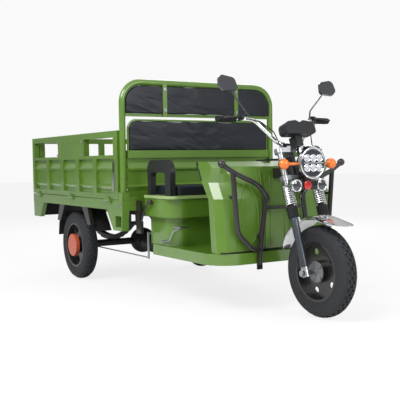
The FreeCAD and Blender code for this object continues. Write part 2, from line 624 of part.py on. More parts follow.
def make_bed():
    """Channel frame, floor sheet, and the fixed front wall."""
    low, high, side = "frame_low", "frame_top", "bed_half"
    wide = "channel_width"
    rear, front, nose = "-bed_rear", "bed_front + gate_gap", "bed_front + gate_gap + sleeve"
    long_side = box((rear, front), (f"-{side}", f"{wide} - {side}"), (low, high))
    ends = [box((rear, f"{rear} + {wide}"), (f"{wide} - {side} - 1", f"{side} - {wide} + 1"), (low, high)),
            box((front, nose), ("-post_inner", "post_inner"), (low, high))]
    link = box((f"{front} - 40", front), ("-gate_inner", "gate_inner"), (low, high))
    bars = [box((x, f"{x} + 40"), (f"-{side} + 10", f"{side} - 10"), (low, f"{high} - 2")) for x in ("-400", "-40", "330")]
    lugs = [fuse(rod("x", ("-hinge_y", "hinge_z"), "hinge_radius", (f"{x} + 30.3", f"{x} + 60")),
                 box((f"{x} + 30.3", f"{x} + 60"), ("-hinge_y", f"-{side} + 1"), (f"{high} - 20", "hinge_z")))
            for x in HINGES]
    tail_lugs = [fuse(rod("y", ("hinge_x", "hinge_z"), "hinge_radius", (f"{y} + 30.3", f"{y} + 60")),
                      box(("hinge_x", f"{rear} + 1"), (f"{y} + 30.3", f"{y} + 60"), (f"{high} - 20", "hinge_z")))
                 for y in TAIL_HINGES]
    trim = [box((rear, nose), (f"-{side}", side), (high, "floor_top + 9"))]
    frame = fuse(long_side, mirror(long_side), *ends, link, *bars, *lugs, *[mirror(lug) for lug in lugs], *tail_lugs)
    piece("bed_frame", cut(frame, *trim))
    piece("bed_floor", box((rear, front), (f"-{side}", side), (high, "floor_top")))
    half = "post_inner"

    def depth(text):
        return f"bed_front + gate_gap + sleeve - 6 - ({text})"
    skin = plate("xz", press_profile(depth, "floor_top", "back_rail_low + 1"), (f"1 - {half}", f"{half} - 1"))
    top = box(("hoop_x - tube_radius", "hoop_x + tube_radius"), (f"-{half}", half), ("back_rail_low", "back_rail_top"))
    foot = box(("hoop_x - tube_radius", "hoop_x + tube_radius"), (f"-{half}", half), ("frame_top", "frame_top + 25"))
    piece("headboard", fuse(skin, top, foot))


def make_hoop():
    """Bent hoop on two sleeves, with a cross rail and straps that hold the upper pads, and the lower back pad."""
    path = [("hoop_x", "-hoop_half", "frame_low"), ("hoop_x", "-hoop_half", "hoop_top"),
            ("hoop_x", "hoop_half", "hoop_top"), ("hoop_x", "hoop_half", "frame_low")]
    hoop = tube(path, "tube_radius", ["hoop_bend"])
    sleeve = box(("hoop_x - sleeve / 2", "hoop_x + sleeve / 2"), ("-hoop_half - sleeve / 2 + 3", "-post_inner"), ("frame_low", "sleeve_top"))
    low = "cross_rail_low"
    rail = box(("hoop_x - cross_rail / 2", "hoop_x + cross_rail / 2"), ("-hoop_half", "hoop_half"), (low, f"{low} + cross_rail"))
    face = "hoop_x + tube_radius"
    straps = [box((f"{face} - strap_wall", face), (f"{y} - strap_width / 2", f"{y} + strap_width / 2"), (low, "hoop_top - 4"))
              for y in ("-strap_y", "strap_y")]
    keepers = [box(("hoop_x - 9", face), (f"{y} - 6", f"{y} + 6"), (f"{low} + 2", "hoop_top - 10")) for y in ("-strap_y", "strap_y")]
    piece("rear_hoop", fuse(hoop, sleeve, mirror(sleeve), rail, *straps, *keepers))
    base, head = f"{low} + cross_rail + pad_gap", "hoop_top - tube_radius - pad_gap"
    deep = ("hoop_x - pad_depth / 2", "hoop_x + pad_depth / 2 - 4")
    inner = "hoop_half - tube_radius - pad_gap"
    middle = plate("yz", [("7 - strap_y", base), ("strap_y - 7", base), ("strap_y - 7", head), ("7 - strap_y", head)], deep)
    outer = plate("yz", [("strap_y + 7", base), (inner, base), (inner, head, "hoop_bend - tube_radius"), ("strap_y + 7", head)], deep)
    strap_room = [box((f"{face} - strap_wall - 0.5", f"{face} + 9"), (f"{y} - strap_width / 2 - 0.5", f"{y} + strap_width / 2 + 0.5"),
                      (low, "hoop_top")) for y in ("-strap_y", "strap_y")]
    pads = [cut(pad, *strap_room) for pad in (middle, outer, mirror(outer))]
    piece("upper_back_pads", group(*pads))
    side = "post_inner - back_tube"
    x = "hoop_x + 4"
    ring = tube([(x, f"-({side})", "back_rail_top"), (x, f"-({side})", "back_top"), (x, side, "back_top"),
                 (x, side, "back_rail_top")], "back_tube", ["back_bend"])
    piece("backrest_frame", ring)
    edge = f"{side} - back_tube - 0.5"
    lower = plate("yz", [(f"-({edge})", "back_rail_top + 0.3"), (edge, "back_rail_top + 0.3"),
                         (edge, "back_top - back_tube - 0.5", "back_bend - back_tube"),
                         (f"-({edge})", "back_top - back_tube - 0.5", "back_bend - back_tube")], deep)
    piece("lower_back_pad", lower)


def make_brackets():
    """Corner steps and rear brackets under the bed, mudguard flaps with their stays, and the lamp panel."""
    out, wall = "-bed_half + 2", "46"
    nose = "bed_front + gate_gap + sleeve"
    step = plate("xz", [("bed_front - 180", "frame_low"), ("bed_front - 80", 407), (f"{nose} - 16", 407), (nose, "frame_low")],
                 (out, f"{out} + {wall}"),
                 [[("bed_front - 48", 430), ("bed_front + 38", 430), ("bed_front + 38", 500), ("bed_front - 48", 500)]])
    corner = plate("xz", [("-bed_rear", "frame_low"), ("-bed_rear + 5", 420), ("-bed_rear + 148", 420), ("-bed_rear + 226", "frame_low")],
                   (out, f"{out} + 32"))
    piece("corner_steps", pair(step))
    piece("rear_brackets", pair(corner))
    stays = [plate("xz", shape, (out, f"{out} + 28")) for shape in (
        [(-184, "frame_low"), (-234, 415), (-172, 415), (-83, "frame_low")],
        [(237, "frame_low"), (335, 415), (387, 415), (334, "frame_low")])]
    piece("mudguard_stays", pair(group(*stays)))
    flaps = [plate("xz", shape, (f"{out} + 28", f"{out} + 158")) for shape in (
        [(-120, "frame_low"), (-200, 480), (-272, 400), (-290, 300), (-286, 300), (-267, 400), (-196, 480), (-112, "frame_low")],
        [(252, "frame_low"), (338, 430), (380, 370), (384, 370), (343, 432), (262, "frame_low")])]
    piece("mudguards", pair(group(*flaps)))
    half = "bed_half - 2 - 32"
    piece("tail_panel", box(("-bed_rear", "-bed_rear + 4"), (f"-({half})", half), ("panel_low", "frame_low")))
    lamp = plate("yz", [(360, "panel_low + 22", 10), (500, "panel_low + 22", 10), (500, "panel_low + 84", 10), (360, "panel_low + 84", 10)],
                 ("-bed_rear - 16", "-bed_rear"))
    piece("tail_lamps", pair(lamp))


# Steering

def make_fork(fender):
    """Stem, clamps and legs, with a front axle and a coil round each leg."""
    legs = []
    for side in ("-", ""):
        y = f"{side}leg_y"
        legs += [rod("z", (0, y), "upper_leg", ("leg_joint - 40", "leg_top")), rod("z", (0, y), "lower_leg", (-22, "leg_joint - 30"))]
    stem = rod("z", ("-steer_offset", 0), "stem_radius", ("clamp_low", "clamp_high + clamp_wall"))
    clamps = []
    for low in ("clamp_low", "clamp_high"):
        clamps.append(plate("xy", [
            ("-22", "-leg_y - 24", 20), ("22", "-leg_y - 24", 20), ("24", "-40"), ("14", "0"), ("24", "40"),
            ("22", "leg_y + 24", 20), ("-22", "leg_y + 24", 20), ("-steer_offset - 26", "26", 14), ("-steer_offset - 26", "-26", 14),
        ], (low, f"{low} + clamp_wall")))
    lugs = [box((-14, 14), span, (262, 300)) for span in (("fender_half + seat_gap", "leg_y - lower_leg + 4"),
                                                          ("lower_leg - leg_y - 4", "-fender_half - seat_gap"))]
    bore = rod("y", (0, 0), "axle_radius + bore_gap", ("-leg_y - 40", "leg_y + 40"))
    fork = piece("fork", cut(tilt(cut(fuse(*legs, stem, *clamps, *lugs), bore)), fender))
    axle = fuse(rod("y", (0, 0), "axle_radius", ("-leg_y - 34", "leg_y + 34")),
                *[rod("y", (0, 0), "17", span) for span in (("leg_y + lower_leg", "leg_y + lower_leg + 11"),
                                                            ("-leg_y - lower_leg - 11", "-leg_y - lower_leg"))],
                *[rod("y", (0, 0), "14", span) for span in (("hub_half + 0.3", "leg_y - lower_leg"),
                                                            ("lower_leg - leg_y", "-hub_half - 0.3"))])
    piece("front_axle", axle, tilted=True)
    coils = []
    turns = 9
    seat = "leg_joint - 30"
    for side in ("-", ""):
        y = f"{side}leg_y"
        sleeve = cut(rod("z", (0, y), "spring_radius - 6", (seat, "spring_top")),
                     rod("z", (0, y), "upper_leg + 0.3", (f"{seat} - 5", "spring_top + 5")))
        rings = [rod("z", (0, y), "spring_radius", (f"{seat} + (spring_top - {seat}) * {i} / {turns} + 3",
                                                    f"{seat} + (spring_top - {seat}) * {i} / {turns} + 3 + 2 * spring_wire"))
                 for i in range(turns)]
        bores = rod("z", (0, y), "upper_leg + 0.3", (f"{seat} - 5", "spring_top + 5"))
        coils.append(cut(fuse(sleeve, *rings), bores))
    springs = piece("fork_springs", group(*coils), tilted=True)
    return fork, springs


def eased(rows, steps):
    """The rows with smooth steps put between each two of them."""
    result = []
    for i in range(len(rows) - 1):
        four = (rows[max(i - 1, 0)], rows[i], rows[i + 1], rows[min(i + 2, len(rows) - 1)])
        for step in range(steps):
            t = step / steps
            result.append([b + ((c - a) * t + (2 * a - 5 * b + 4 * c - d) * t ** 2
                                + (3 * b - a - 3 * c + d) * t ** 3) / 2 for a, b, c, d in zip(*four)])
    return result + [rows[-1]]


def make_fender():
    """Sprung shell over the front tyre that flares to a peak in front."""
    axis = point("wheelbase", "0", "tyre_radius")
    half, wall = number("fender_half"), number("fender_wall")
    inner = number("tyre_radius + fender_gap")
    stations = [(158, -14, 0.85, 10), (140, -2, 0.95, 14), (115, 6, 1.0, 20), (90, 10, 1.0, 24), (72, 14, 1.0, 22),
                (60, 22, 1.0, 14), (52, 38, 0.62, 7), (49, 46, 0.2, 4)]
    wires = []
    for turn, lift, share, crown in eased(stations, 3):
        out = V(math.cos(math.radians(turn)), 0, math.sin(math.radians(turn)))
        rim = axis + out * (inner + lift - crown)
        crest = axis + out * (inner + lift)
        side = V(0, half * share, 0)
        outer = Part.Arc(rim + out * wall - side, crest + out * wall, rim + out * wall + side).toShape()
        under = Part.Arc(rim + side, crest, rim - side).toShape()
        wires.append(Part.Wire([outer, Part.makeLine(rim + out * wall + side, rim + side), under,
                                Part.makeLine(rim - side, rim + out * wall - side)]))
    shell = shaped(Part.makeLoft(wires, True, True), "Fender")
    return piece("front_fender", shell)


def make_handlebar():
    """Bar with grips and levers, drawn about the tilted steering line."""
    grip_in = "bar_half - grip_length"
    def side_points(sign):
        return [("-112", f"{sign}(bar_half)", "902"), ("-104", f"{sign}({grip_in} - 12)", "900"), ("-44", f"{sign}200", "872"),
                ("-30", f"{sign}82", "734"), ("-30", f"{sign}30", "722")]
    right = side_points("-")
    left = list(reversed(side_points("")))
    bar = tube(right + left, "bar_radius", ["70", "60", "60", "60", "60", "60", "60", "70"])
    risers = [box(("-46", "-14"), (y, f"{y} + 24"), ("clamp_high + clamp_wall", "724")) for y in ("-60", "36")]
    return piece("handlebar", fuse(bar, *risers), tilted=True)


def make_lamps(fork, springs):
    """Headlight, lower lamps and indicators on a bracket ahead of the fork."""
    back = "lamp_x - lamp_depth"
    headlight = piece("headlight", turned("x", [(back, 0), ("lamp_x", 0), ("lamp_x", "lamp_radius"), ("lamp_x - 20", "lamp_radius"),
                                    (back, "lamp_radius * 0.55", 15)], (0, 0, "lamp_z")))
    lens = rod("x", ("aux_y", "aux_z"), "aux_radius", ("aux_x - 18", "aux_x"))
    piece("aux_lamps", pair(lens))
    stalk = rod("y", ("signal_x - 8", "signal_z"), 8, ("lamp_radius * 0.6", "signal_y - signal_radius + 6"))
    lamp = ball("signal_x", "signal_y", "signal_z", "signal_radius")
    piece("indicators", pair(cut(fuse(lamp, stalk), headlight)))
    middle = "clamp_low + clamp_wall / 2"
    clamp_x, clamp_z = raked_x("0", middle), raked_z("18", middle)
    plate_x = ("aux_x - 28", "aux_x - 18")
    bracket = fuse(
        box(plate_x, ("aux_radius - aux_y - 22", "aux_y - aux_radius + 22"), ("aux_z - 24", "aux_z + 22")),
        box((clamp_x, "aux_x - 18"), (-16, 16), (f"{clamp_z} - 9", f"{clamp_z} + 9")),
        box((f"{back} - 8", back), (-20, 20), (f"{clamp_z} - 9", "lamp_z + 20")),
        box(plate_x, (-16, 16), ("aux_z", clamp_z)))
    piece("lamp_bracket", cut(bracket, fork, tilt(springs), headlight))


def make_controls(bar):
    """Grips, levers, mirrors, instruments and the brake cables of the steering side."""
    grip_in = "bar_half - grip_length"
    grips = []
    for sign in ("-", ""):
        ends = [("-112", f"{sign}(bar_half + 4)", "902"), ("-105.5", f"{sign}({grip_in} + 4)", "900.4")]
        grips.append(cut(tube(ends, "bar_radius + grip_wall"), bar))
    piece("handlebar_grips", group(*grips), tilted=True)
    perch = box(("-96", "-74"), (f"{grip_in} - 30", f"{grip_in} - 2"), (885, 915))
    blade = tube([("-70", f"{grip_in} - 16", 900), ("-62", f"{grip_in} + 30", 896), ("-76", "bar_half - 12", 892)], 5, [60])
    lever = fuse(box(("-84", "-62"), (f"{grip_in} - 26", f"{grip_in} - 6"), (892, 908)), blade, perch)
    piece("brake_levers", pair(cut(lever, bar)), tilted=True)
    stalk = tube([("-60", "212", "892"), ("-66", "236", "945"), ("-38", "300", "1010"), ("-14", "346", "1062")], 4.5, [40])
    boss = rod("z", ("-60", 212), 9, (884, 894))
    head = plate("yz", [(288, 1030, 18), (300, 1100, 26), (398, 1118, 30), (412, 1050, 22), (380, 1020, 20)], ("-20", "-4"))
    piece("mirrors", pair(cut(fuse(stalk, boss, head), bar)), tilted=True)
    panel = plate("yz", [(-104, 745, 20), (-100, 812, 34), (-22, 822, 18), (0, 806, 20), (22, 822, 18), (100, 812, 34),
                         (104, 745, 20)], ("26", "92"))
    foot = box(("0", "60"), (-22, 22), ("clamp_high + clamp_wall", 746))
    piece("instrument_cluster", fuse(panel, foot), tilted=True)
    cables = []
    for sign in ("-", ""):
        cables.append(tube([("-62", f"{sign}236", 884), ("2", f"{sign}196", 846), ("16", f"{sign}128", 780),
                            ("24", f"{sign}112", 700)], 3, [26]))
    piece("control_cables", group(*cables), tilted=True)


def make_foot_controls():
    """Brake pedal and its rod, and the hand lever beside the seat."""
    side = "-(seat_half - 22)"
    pivot = rod("y", (1120, 352), 8, ("-(pan_half - 3)", "-(seat_half - step_back)"))
    arm = tube([(1120, "-438", 352), (1210, "-438", 368), (1262, "-438", 430), (1330, "-438", 446)], 7, [30])
    pad = box((1300, 1382), ("-462", "-402"), (452, 460))
    heel = box((1318, 1334), ("-446", "-430"), (444, 454))
    piece("brake_pedal", fuse(pivot, arm, pad, heel))
    crank = box((940, 954), (f"{side}", f"{side} + 8"), (232, 400))
    bar = rod("y", (947, 392), 7, (f"{side}", "-rail_y - rail_width / 2"))
    pull = rod("x", ("-444", 240), 4, ("axle_tube + seat_gap", 950))
    piece("brake_rod", fuse(crank, bar, pull))
    side = "-(seat_half + 20)"
    stick = tube([(925, side, 420), (962, side, 500), (1010, side, 566), (1060, side, 592)], 6, [60])
    knob = ball(1064, side, 594, 17)
    base = box((890, 955), (f"{side} - 9", f"{side} + 9"), (392, 470))
    foot = box(("bed_front + gate_gap + sleeve", 940), (f"{side} - 9", f"{side} + 9"), (440, "frame_top"))
    piece("hand_lever", fuse(stick, knob, base, foot))


def make_pieces():
    make_wheels()
    make_rear_axle()
    make_chassis()
    make_floor_pan()
    shield = make_apron()
    make_seat()
    make_guard(shield)
    make_side_gates()
    make_tailgate()
    make_bed()
    make_hoop()
    make_brackets()
    fork, springs = make_fork(make_fender())
    bar = make_handlebar()
    make_lamps(fork, springs)
    make_controls(bar)
    make_foot_controls()


def check_document():
    """Refuse a failed object or a bad shape before anything is written."""
    doc.recompute()
    for thing in doc.Objects:
        if {"Invalid", "Error"} & set(thing.State):
            raise RuntimeError(f"{thing.Name} failed: {thing.State}")
    for part in PIECES:
        if part.Shape.isNull() or not part.Shape.isValid() or not part.Shape.Solids:
            raise RuntimeError(f"{part.Label} has a bad shape")


def write_parts():
    os.makedirs("parts", exist_ok=True)
    for part in PIECES:
        part.Shape.exportStep(f"parts/{part.Label}.step")


reader = make_sheet()
make_pieces()
check_document()
write_parts()
print(len(PIECES), "sub-parts")
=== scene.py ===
import json
import math
import bpy
import numpy as np
from mathutils import Matrix, Vector, noise
from mathutils.bvhtree import BVHTree


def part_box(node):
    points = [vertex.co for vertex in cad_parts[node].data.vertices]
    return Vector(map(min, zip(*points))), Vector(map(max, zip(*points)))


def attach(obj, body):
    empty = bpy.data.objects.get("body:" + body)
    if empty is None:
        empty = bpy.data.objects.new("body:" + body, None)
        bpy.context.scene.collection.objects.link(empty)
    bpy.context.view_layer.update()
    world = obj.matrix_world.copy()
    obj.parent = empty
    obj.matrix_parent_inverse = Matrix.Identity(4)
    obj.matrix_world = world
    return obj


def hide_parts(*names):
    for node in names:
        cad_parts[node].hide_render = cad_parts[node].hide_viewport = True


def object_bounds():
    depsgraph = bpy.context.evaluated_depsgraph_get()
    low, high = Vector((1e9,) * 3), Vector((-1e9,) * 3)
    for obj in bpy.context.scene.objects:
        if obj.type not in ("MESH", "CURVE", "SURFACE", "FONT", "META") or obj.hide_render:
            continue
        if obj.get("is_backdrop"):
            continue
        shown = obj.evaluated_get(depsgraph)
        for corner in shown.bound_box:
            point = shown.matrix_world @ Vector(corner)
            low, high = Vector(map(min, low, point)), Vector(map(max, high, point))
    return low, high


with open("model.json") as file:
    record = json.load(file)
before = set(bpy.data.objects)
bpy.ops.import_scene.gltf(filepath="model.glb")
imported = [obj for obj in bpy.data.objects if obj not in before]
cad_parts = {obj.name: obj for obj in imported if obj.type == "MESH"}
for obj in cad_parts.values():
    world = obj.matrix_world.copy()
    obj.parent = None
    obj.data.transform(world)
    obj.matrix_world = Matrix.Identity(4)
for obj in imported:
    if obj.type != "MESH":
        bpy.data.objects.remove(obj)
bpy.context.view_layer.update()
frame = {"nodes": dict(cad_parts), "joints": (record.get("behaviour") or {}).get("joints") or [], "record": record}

NODES = frame["nodes"]
RAKE = Vector((-0.3173, 0, 0.9483))     # the steering axis, pointing up


# ---------- materials ----------

def finish_of(name, colour, roughness, metallic=0.0, coat=0.0, bump=0.1, grain=300.0, shade=0.85, sheen=0.0, glow=0.0,
              specular=0.5):
    """A material whose colour, roughness and relief vary over the surface."""
    m = bpy.data.materials.new(name)
    m.use_nodes = True
    nodes, links = m.node_tree.nodes, m.node_tree.links
    shader = nodes["Principled BSDF"]
    shader.inputs["Metallic"].default_value = metallic
    shader.inputs["Coat Weight"].default_value = coat
    shader.inputs["Coat Roughness"].default_value = 0.08
    shader.inputs["Sheen Weight"].default_value = sheen
    shader.inputs["Specular IOR Level"].default_value = specular
    if glow:
        shader.inputs["Emission Color"].default_value = (*colour, 1)
        shader.inputs["Emission Strength"].default_value = glow
    place = nodes.new("ShaderNodeTexCoord").outputs["Object"]

    def cloud(scale, detail):
        n = nodes.new("ShaderNodeTexNoise")
        n.inputs["Scale"].default_value = scale
        n.inputs["Detail"].default_value = detail
        links.new(place, n.inputs["Vector"])
        return n.outputs["Fac"]

    wide, fine = cloud(4.0, 6.0), cloud(grain, 3.0)
    ramp = nodes.new("ShaderNodeValToRGB")
    ramp.color_ramp.elements[0].position = 0.3
    ramp.color_ramp.elements[1].position = 0.7
    ramp.color_ramp.elements[0].color = (*[c * shade for c in colour], 1)
    ramp.color_ramp.elements[1].color = (*colour, 1)
    links.new(wide, ramp.inputs["Fac"])
    links.new(ramp.outputs["Color"], shader.inputs["Base Color"])
    spread = nodes.new("ShaderNodeMapRange")
    spread.inputs["To Min"].default_value = roughness * 0.8
    spread.inputs["To Max"].default_value = min(1.0, roughness * 1.25)
    links.new(wide, spread.inputs["Value"])
    links.new(spread.outputs["Result"], shader.inputs["Roughness"])
    relief = nodes.new("ShaderNodeBump")
    relief.inputs["Strength"].default_value = bump
    relief.inputs["Distance"].default_value = 0.001
    links.new(fine, relief.inputs["Height"])
    links.new(relief.outputs["Normal"], shader.inputs["Normal"])
    return m


LOOKS = {
    "green_paint": finish_of("green_paint", (0.098, 0.205, 0.02), 0.3, coat=0.7, bump=0.04, grain=120, shade=0.88),
    "light_green": finish_of("light_green", (0.3, 0.42, 0.16), 0.38, coat=0.5, bump=0.04, grain=120, shade=0.9),
    "black_paint": finish_of("black_paint", (0.016, 0.013, 0.014), 0.3, coat=0.3, bump=0.08, grain=200),
    "tyre": finish_of("tyre", (0.03, 0.032, 0.036), 0.62, bump=0.25, grain=500, shade=0.7, specular=0.25),
    "vinyl": finish_of("vinyl", (0.014, 0.017, 0.024), 0.38, bump=0.35, grain=700, shade=0.7, specular=0.32),
    "chrome": finish_of("chrome", (0.8, 0.81, 0.83), 0.1, metallic=1.0, bump=0.02, grain=80, shade=0.92),
    "steel": finish_of("steel", (0.42, 0.43, 0.45), 0.3, metallic=1.0, bump=0.1, grain=400),
    "silver": finish_of("silver", (0.55, 0.57, 0.6), 0.28, metallic=0.9, bump=0.06, grain=250),
    "black_plastic": finish_of("black_plastic", (0.018, 0.019, 0.022), 0.4, bump=0.2, grain=900, specular=0.32),
    "red_lens": finish_of("red_lens", (0.5, 0.015, 0.012), 0.15, coat=0.8, bump=0.3, grain=250),
    "amber_lens": finish_of("amber_lens", (0.9, 0.2, 0.015), 0.15, coat=0.8, bump=0.3, grain=250),
    "orange_paint": finish_of("orange_paint", (0.5, 0.09, 0.035), 0.4, coat=0.3, bump=0.1, grain=150),
    "lamp": finish_of("lamp", (0.75, 0.77, 0.8), 0.14, metallic=1.0, bump=0.05, grain=150),
    "rubber": finish_of("rubber", (0.012, 0.012, 0.013), 0.55, bump=0.25, grain=600, specular=0.3),
    "mirror": finish_of("mirror", (0.03, 0.032, 0.04), 0.2, coat=0.8, bump=0.03, grain=150),
    "iron": finish_of("iron", (0.04, 0.04, 0.042), 0.5, metallic=0.5, bump=0.4, grain=180),
    "slate": finish_of("slate", (0.07, 0.08, 0.095), 0.35, metallic=0.6, bump=0.05, grain=250),
    "drum": finish_of("drum", (0.22, 0.23, 0.245), 0.5, metallic=0.5, bump=0.2, grain=300),
    "led": finish_of("led", (0.5, 0.52, 0.56), 0.12, coat=1.0, bump=0.3, grain=400, glow=0.08),
    "dark_glass": finish_of("dark_glass", (0.04, 0.045, 0.055), 0.06, coat=1.0, bump=0.1, grain=300),
}
SLOT = {row["node"]: row["material_slot"] for row in frame["record"]["subparts"]}
for name, node in NODES.items():
    node.data.materials.clear()
    node.data.materials.append(LOOKS["light_green" if name == "seat_board" else SLOT[name]])


# ---------- making pieces ----------

def piece(name, verts, faces, look, body, smooth=True):
    """A mesh piece that rides on a body."""
    mesh = bpy.data.meshes.new(name)
    mesh.from_pydata([tuple(v) for v in verts], [], faces)
    mesh.materials.append(LOOKS[look])
    mesh.shade_smooth()
    mesh.set_sharp_from_angle(angle=math.radians(38 if smooth else 20))
    obj = bpy.data.objects.new(name, mesh)
    bpy.context.scene.collection.objects.link(obj)
    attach(obj, body)
    return obj


class Shape:
    """Gathers the vertices and faces of one piece."""

    def __init__(self):
        self.verts, self.faces = [], []

    def add(self, verts, faces):
        start = len(self.verts)
        self.verts += [Vector(v) for v in verts]
        self.faces += [[start + i for i in f] for f in faces]

    def turn(self, centre, axis, profile, steps=32):
        """A closed solid of revolution; profile holds (along the axis, radius)."""
        axis = Vector(axis).normalized()
        side = axis.orthogonal().normalized()
        other = axis.cross(side)
        n = len(profile)
        verts, faces = [], []
        for i in range(steps):
            a = math.tau * i / steps
            out = side * math.cos(a) + other * math.sin(a)
            verts += [Vector(centre) + axis * t + out * r for t, r in profile]
        for i in range(steps):
            j = (i + 1) % steps
            for k in range(n - 1):
                faces.append([i * n + k, j * n + k, j * n + k + 1, i * n + k + 1])
        faces.append([i * n for i in range(steps)][::-1])
        faces.append([i * n + n - 1 for i in range(steps)])
        self.add(verts, faces)

    def ring(self, centre, axis, radius, thick, steps=48, cross=10):
        axis = Vector(axis).normalized()
        side = axis.orthogonal().normalized()
        other = axis.cross(side)
        verts, faces = [], []
        for i in range(steps):
            a = math.tau * i / steps
            out = side * math.cos(a) + other * math.sin(a)
            for k in range(cross):
                b = math.tau * k / cross
                verts.append(Vector(centre) + out * (radius + thick * math.cos(b)) + axis * thick * math.sin(b))
        for i in range(steps):
            for k in range(cross):
                j, m = (i + 1) % steps, (k + 1) % cross
                faces.append([i * cross + k, j * cross + k, j * cross + m, i * cross + m])
        self.add(verts, faces)

    def sweep(self, path, radius, cross=8):
        """A round wire along a list of points."""
        path = [Vector(p) for p in path]
        verts, faces = [], []
        for i, p in enumerate(path):
            way = (path[min(i + 1, len(path) - 1)] - path[max(i - 1, 0)]).normalized()
            side = way.cross(Vector((0.12, 0.97, 0.21))).normalized()
            other = way.cross(side)
            for k in range(cross):
                b = math.tau * k / cross
                verts.append(p + (side * math.cos(b) + other * math.sin(b)) * radius)
        for i in range(len(path) - 1):
            for k in range(cross):
                m = (k + 1) % cross
                faces.append([i * cross + k, i * cross + m, (i + 1) * cross + m, (i + 1) * cross + k])
        faces.append(list(range(cross))[::-1])
        faces.append([(len(path) - 1) * cross + k for k in range(cross)])
        self.add(verts, faces)

    def bolt(self, at, axis, radius=0.008, height=0.007):
        """A hexagon head on a washer."""
        self.turn(at, axis, [(-0.001, radius * 1.5), (height * 0.2, radius * 1.5)], 16)
        self.turn(at, axis, [(0, radius), (height * 0.85, radius), (height, radius * 0.8)], 6)

    def done(self, name, look, body, slot=None, smooth=True):
        return piece(name, self.verts, self.faces, look, body, smooth)


def radii(node, centre):
    co = np.array([v.co for v in NODES[node].data.vertices])
    r = np.hypot(co[:, 0] - centre[0], co[:, 2] - centre[2])
    return r.min(), r.max(), co[:, 1].min(), co[:, 1].max()


# ---------- tyres ----------

def tyre(node, body, centre):
    """A carcass of revolution with rows of tread blocks and rings on the side walls."""
    inner, outer, left, right = radii(node, centre)
    middle, half = (left + right) / 2, (right - left) / 2
    deep = 0.007
    base = outer - deep
    side = [(0.70, inner), (0.86, inner + 0.006), (0.90, inner + 0.016), (0.96, inner + 0.03), (0.945, inner + 0.034),
            (0.97, inner + 0.046), (0.985, inner + 0.05), (0.96, inner + 0.056), (0.93, base - 0.022), (0.84, base - 0.010),
            (0.6, base - 0.003), (0.3, base - 0.0005)]
    outline = [(-w * half, r) for w, r in side] + [(0, base)] + [(w * half, r) for w, r in side[::-1]]
    shape = Shape()
    steps, n = 120, len(outline)
    verts = [(centre[0] + r * math.cos(a), middle + t, centre[2] + r * math.sin(a))
             for a in [math.tau * i / steps for i in range(steps)] for t, r in outline]
    faces = [[i * n + k, i * n + (k + 1) % n, (i + 1) % steps * n + (k + 1) % n, (i + 1) % steps * n + k]
             for i in range(steps) for k in range(n)]
    shape.add(verts, faces)

    def crown(w, lift, a):
        r = base - 0.028 * abs(w) ** 3.2 + lift * (1 - 0.25 * abs(w))
        return (centre[0] + r * math.cos(a), middle + w * half * 0.93, centre[2] + r * math.sin(a))

    pitches = 34
    for i in range(pitches):
        for low, high, shift, size in ((-0.30, -0.04, 0.0, 0.72), (0.04, 0.30, 0.5, 0.72), (-0.66, -0.36, 0.5, 0.62),
                                       (0.36, 0.66, 0.0, 0.62), (-1.0, -0.72, 0.0, 0.6), (0.72, 1.0, 0.5, 0.6)):
            rows = []
            for s in (0, 0.5, 1):
                w = low + (high - low) * s
                a = math.tau * (i + shift + 0.28 * abs(w)) / pitches
                b = a + math.tau * size / pitches
                rows += [crown(w, -0.003, a), crown(w, deep, a + 0.004), crown(w, deep, b - 0.004), crown(w, -0.003, b)]
            quads = [[0, 1, 5, 4], [1, 2, 6, 5], [2, 3, 7, 6], [4, 5, 9, 8], [5, 6, 10, 9], [6, 7, 11, 10],
                     [3, 0, 4, 7], [7, 4, 8, 11], [0, 3, 2, 1], [8, 9, 10, 11]]
            shape.add(rows, quads)
    obj = shape.done(node + "_tread", "tyre", body, smooth=False)
    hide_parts(node)


WHEELS = {}
for joint in frame["joints"]:
    if joint["name"].endswith("_spin"):
        WHEELS[joint["child"]] = Vector(joint["pos_m"])
tyre("front_tyre", "front_wheel", WHEELS["front_wheel"])
tyre("rear_right_tyre", "rear_wheel_right", WHEELS["rear_wheel_right"])
tyre("rear_left_tyre", "rear_wheel_left", WHEELS["rear_wheel_left"])

for label, body in (("front", "front_wheel"), ("rear_right", "rear_wheel_right"), ("rear_left", "rear_wheel_left")):
    centre = WHEELS[body]
    inner, outer, left, right = radii(label + "_rim", centre)
    lips = Shape()
    for y, out in ((left, -1), (right, 1)):
        lips.ring((centre[0], y - out * 0.003, centre[2]), (0, 1, 0), outer - 0.004, 0.003, 72)
    lips.done(label + "_lip_rings", "silver", body)


# ---------- padding ----------

